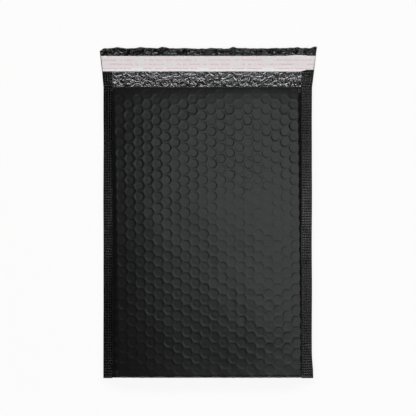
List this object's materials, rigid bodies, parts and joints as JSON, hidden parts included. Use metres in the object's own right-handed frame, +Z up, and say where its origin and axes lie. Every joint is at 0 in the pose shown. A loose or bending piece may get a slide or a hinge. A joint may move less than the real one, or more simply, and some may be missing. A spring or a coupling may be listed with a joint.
{
  "type": "padded envelope",
  "caption": "Black padded mailer with a bubble lining, knurled side seals and an open flap with a peel-off strip, made to post small goods.",
  "frame": {"origin": "centre of the footprint, on the table", "axes": "+X across the mailer to the right, +Y from the bottom fold to the flap, +Z up from the table through the front"},
  "size_m": [0.209, 0.318, 0.0118],
  "materials": {
    "black_film": "satin black polyethylene film, embossed by the bubbles behind it",
    "lining_film": "glossy crinkled bubble film",
    "hot_melt": "tacky hot melt adhesive",
    "liner_film": "pale release liner with faint pink dashes"
  },
  "bodies": {
    "root": {"outer_film": "black_film", "bubble_lining": "lining_film", "adhesive_strip": "hot_melt", "release_liner": "liner_film"}
  },
  "joints": []
}
